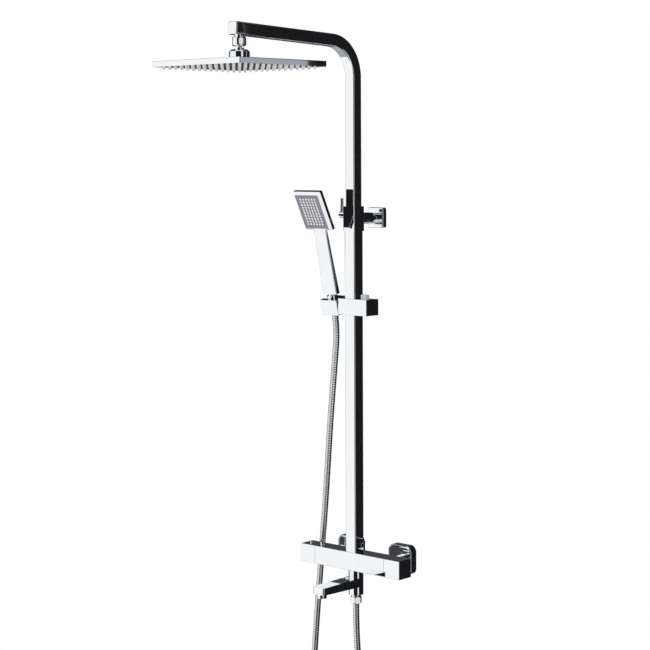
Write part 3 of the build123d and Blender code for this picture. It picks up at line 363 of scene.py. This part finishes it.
def evenly(points, step):
    """The same line again, with its points a fixed distance apart."""
    out = [points[0].copy()]
    left = step
    for a, b in zip(points, points[1:]):
        run = (b - a).length
        at = left
        while at <= run:
            out.append(a.lerp(b, at / run))
            at += step
        left = at - run
    if (out[-1] - points[-1]).length > step * 0.2:
        out.append(points[-1].copy())
    return out


def seam_depth(turn):
    """How deep the surface lies at a place in one turn of the strip, from 0 to 1."""
    return max(0.0, 1.0 - abs(turn % 1.0 - 0.5) / SEAM_HALF)


def wound_tube(points, radius, pitch, depth, sides):
    """A tube of folded strip: one seam that winds round it, and closed ends."""
    mesh = bmesh.new()
    seam = mesh.verts.layers.float.new("seam")
    side = Vector((1, 0, 0))
    rings = []
    travelled = 0.0
    for i, place in enumerate(points):
        ahead = (points[min(i + 1, len(points) - 1)] - points[max(i - 1, 0)]).normalized()
        side = (side - ahead * side.dot(ahead)).normalized()
        up = ahead.cross(side)
        if i:
            travelled += (place - points[i - 1]).length
        ring = []
        for k in range(sides):
            share = k / sides
            deep = seam_depth(travelled / pitch + share)
            r = radius - depth * deep
            angle = 2 * math.pi * share
            vert = mesh.verts.new(place + side * (r * math.cos(angle)) + up * (r * math.sin(angle)))
            vert[seam] = deep
            ring.append(vert)
        rings.append(ring)
    for low, high in zip(rings, rings[1:]):
        for k in range(sides):
            j = (k + 1) % sides
            mesh.faces.new((low[k], low[j], high[j], high[k]))
    mesh.faces.new(list(reversed(rings[0])))
    mesh.faces.new(rings[-1])
    for face in mesh.faces:
        face.smooth = len(face.verts) == 4
    data = bpy.data.meshes.new("hose_skin")
    mesh.to_mesh(data)
    mesh.free()
    return data


class SHOWER_OT_hose(bpy.types.Operator):
    """Wind the metal hose along its route"""
    bl_idname = "shower.hose"
    bl_label = "Hose"

    def execute(self, context):
        s = context.scene.shower_hose
        points = evenly(route_points(HOSE_ROUTE), s.lock_pitch / RINGS_A_TURN)
        data = wound_tube(points, s.diameter / 2, s.lock_pitch, s.lock_depth, s.sides)
        hose = bpy.data.objects.new("hose_skin", data)
        context.scene.collection.objects.link(hose)
        hose.data.materials.append(bpy.data.materials["hose_skin_finish"])
        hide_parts("hose")
        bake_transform(hose)
        return {"FINISHED"}


# ================= stage =================
def smooth_mask(tree, value, low, high):
    ranger = tree.nodes.new("ShaderNodeMapRange")
    ranger.interpolation_type = "SMOOTHSTEP"
    ranger.inputs["From Min"].default_value = low
    ranger.inputs["From Max"].default_value = high
    tree.links.new(value, ranger.inputs["Value"])
    return ranger.outputs["Result"]


def studio_light(scene):
    """A dark room with a white card to the left, pale strips behind and right, and a pale ceiling."""
    world = bpy.data.worlds.new("studio")
    scene.world = world
    world.use_nodes = True
    tree = world.node_tree
    back = tree.nodes["Background"]
    place = tree.nodes.new("ShaderNodeTexCoord").outputs["Generated"]
    flat = tree.nodes.new("ShaderNodeVectorMath")
    flat.operation = "MULTIPLY"
    flat.inputs[1].default_value = (1, 1, 0)
    tree.links.new(place, flat.inputs[0])
    level = tree.nodes.new("ShaderNodeVectorMath")
    level.operation = "NORMALIZE"
    tree.links.new(flat.outputs[0], level.inputs[0])
    parts = tree.nodes.new("ShaderNodeSeparateXYZ")
    tree.links.new(place, parts.inputs[0])

    def towards(azimuth):
        dot = tree.nodes.new("ShaderNodeVectorMath")
        dot.operation = "DOT_PRODUCT"
        angle = math.radians(azimuth)
        dot.inputs[1].default_value = (math.cos(angle), math.sin(angle), 0)
        tree.links.new(level.outputs[0], dot.inputs[0])
        return dot.outputs["Value"]

    def layered(under, mask, colour):
        mix = tree.nodes.new("ShaderNodeMix")
        mix.data_type = "RGBA"
        tree.links.new(mask, mix.inputs["Factor"])
        first, second = [socket for socket in mix.inputs if socket.type == "RGBA"]
        if isinstance(under, tuple):
            first.default_value = under
        else:
            tree.links.new(under, first)
        second.default_value = colour
        return next(socket for socket in mix.outputs if socket.type == "RGBA")

    def times(a, b):
        product = tree.nodes.new("ShaderNodeMath")
        product.operation = "MULTIPLY"
        for value, socket in zip((a, b), product.inputs):
            if isinstance(value, (int, float)):
                socket.default_value = value
            else:
                tree.links.new(value, socket)
        return product.outputs[0]

    def within(azimuth, outer, inner):
        """Directions within some degrees of an azimuth, with a soft edge."""
        rim, core = (math.cos(math.radians(angle)) for angle in (outer, inner))
        return smooth_mask(tree, towards(azimuth), rim, core)

    height = parts.outputs["Z"]
    depth = times(height, -1)
    dark = (0.012, 0.012, 0.014)
    low_front = times(smooth_mask(tree, depth, 0.48, 0.58), within(-40, 60, 50))
    zones = (
        (within(135, 60, 45), (0.06, 0.06, 0.07)),                       # dull wall at the back left
        (smooth_mask(tree, height, 0.28, 0.38), dark),                   # dark over it
        (within(-15, 13, 8), (0.80, 0.80, 0.82)),                        # narrow strip that edges the nuts
        (within(47.8, 14, 10), (0.36, 0.38, 0.44)),                      # pale strip at the right
        (smooth_mask(tree, height, 0.82, 0.90), (0.85, 0.86, 0.88)),     # ceiling
        (smooth_mask(tree, depth, 0.26, 0.38), (0.40, 0.41, 0.43)),      # grey ground
        (low_front, (0.95, 0.95, 0.95)),                                 # white ground in front
        (within(-128, 44, 38), (1.0, 1.0, 1.0)),                         # white card at the left
        (smooth_mask(tree, depth, 0.74, 0.80), (0.12, 0.12, 0.13)),      # straight down
    )
    room = (*dark, 1)
    for mask, colour in zones:
        room = layered(room, mask, (*colour, 1))
    rays = tree.nodes.new("ShaderNodeLightPath")
    room = layered(room, rays.outputs["Is Diffuse Ray"], (0.75, 0.75, 0.75, 1))
    room = layered(room, rays.outputs["Is Camera Ray"], (1, 1, 1, 1))
    tree.links.new(room, back.inputs["Color"])


def soft_light(name, place, aim, size, power):
    data = bpy.data.lights.new(name, "AREA")
    data.shape = "SQUARE"
    data.size = size
    data.energy = power
    lamp = bpy.data.objects.new(name, data)
    lamp.location = place
    lamp.rotation_euler = (Vector(aim) - Vector(place)).to_track_quat("-Z", "Y").to_euler()
    lamp.visible_glossy = False
    bpy.context.scene.collection.objects.link(lamp)


def dark_card(name, left, right, low, high):
    """An upright dark card, which the column's right side reflects, by its four edges."""
    deselect_all()
    along, across = CARD_FACES, CARD_RUNS
    middle = along * CARD_DISTANCE + across * ((left + right) / 2) + Vector((0, 0, (low + high) / 2))
    bpy.ops.mesh.primitive_plane_add(size=1.0)
    card = named(bpy.context.object, name)
    turn = Matrix((
        (across.x, 0, along.x, middle.x),
        (across.y, 0, along.y, middle.y),
        (0, 1, 0, middle.z),
        (0, 0, 0, 1),
    ))
    card.data.transform(Matrix.Diagonal((right - left, high - low, 1, 1)))
    card.data.transform(turn)
    m = Nodes(name + "_cloth")
    m.tint(m.noise(40), (0.012, 0.012, 0.013), 0.2)
    m.set(Roughness=0.9, Specular_IOR_Level=0.0)
    card.data.materials.append(m.material)
    card.visible_camera = False
    card.visible_diffuse = False
    card.visible_shadow = False


def pale_floor(s, low):
    deselect_all()
    bpy.ops.mesh.primitive_circle_add(vertices=96, radius=s.floor_radius, fill_type="NGON",
                                      location=(0, -0.2, low.z - s.floor_drop))
    floor = named(bpy.context.object, "floor")
    m = Nodes("floor_paint")
    m.tint(m.noise(6), (0.93, 0.93, 0.93), 0.02)
    m.set(Roughness=0.8)
    floor.data.materials.append(m.material)
    floor.visible_glossy = False


def column_camera(s):
    data = bpy.data.cameras.new("camera")
    data.sensor_width = 36.0
    data.lens = s.lens
    camera = bpy.data.objects.new("camera", data)
    bpy.context.scene.collection.objects.link(camera)
    a, e, r = s.azimuth, s.pitch, s.roll
    right = Vector((math.cos(a), math.sin(a), 0))
    ahead = Vector((-math.sin(a) * math.cos(e), math.cos(a) * math.cos(e), math.sin(e)))
    up = right.cross(ahead)
    x = right * math.cos(r) + up * math.sin(r)
    y = up * math.cos(r) - right * math.sin(r)
    z = -ahead
    p = s.place
    camera.matrix_world = Matrix((
        (x.x, y.x, z.x, p[0]),
        (x.y, y.y, z.y, p[1]),
        (x.z, y.z, z.z, p[2]),
        (0, 0, 0, 1),
    ))
    bpy.context.scene.camera = camera


class SHOWER_OT_stage(bpy.types.Operator):
    """Add the floor, the light and the camera"""
    bl_idname = "shower.stage"
    bl_label = "Stage"

    def execute(self, context):
        s = context.scene.shower_stage
        low = CAD_BOX[0]
        studio_light(context.scene)
        for name, edges in DARK_CARDS.items():
            dark_card(name, *edges)
        pale_floor(s, low)
        for light in SOFT_LIGHTS:
            soft_light(*light)
        column_camera(s)
        context.scene.view_settings.view_transform = "Standard"
        return {"FINISHED"}


# ================= panel and registration =================
STEPS = (SHOWER_OT_finishes, SHOWER_OT_hose, SHOWER_OT_stage)
SETTINGS = {
    "shower_hose": ShowerHoseSettings,
    "shower_finish": ShowerFinishSettings,
    "shower_stage": ShowerStageSettings,
}


class SHOWER_PT_panel(bpy.types.Panel):
    """The column's settings and steps"""
    bl_idname = "SHOWER_PT_panel"
    bl_label = "Shower column"
    bl_space_type = "VIEW_3D"
    bl_region_type = "UI"
    bl_category = "Shower"

    def draw(self, context):
        for name, group in SETTINGS.items():
            box = self.layout.box()
            for key in group.__annotations__:
                box.prop(getattr(context.scene, name), key)
        for step in STEPS:
            self.layout.operator(step.bl_idname)


CLASSES = (*SETTINGS.values(), *STEPS, SHOWER_PT_panel)


def register():
    for kind in CLASSES:
        bpy.utils.register_class(kind)
    for name, group in SETTINGS.items():
        setattr(bpy.types.Scene, name, bpy.props.PointerProperty(type=group))


def unregister():
    for name in SETTINGS:
        delattr(bpy.types.Scene, name)
    for kind in reversed(CLASSES):
        bpy.utils.unregister_class(kind)


def main():
    register()
    for step in STEPS:
        family, action = step.bl_idname.split(".")
        getattr(getattr(bpy.ops, family), action)()


if __name__ == "__main__":
    main()
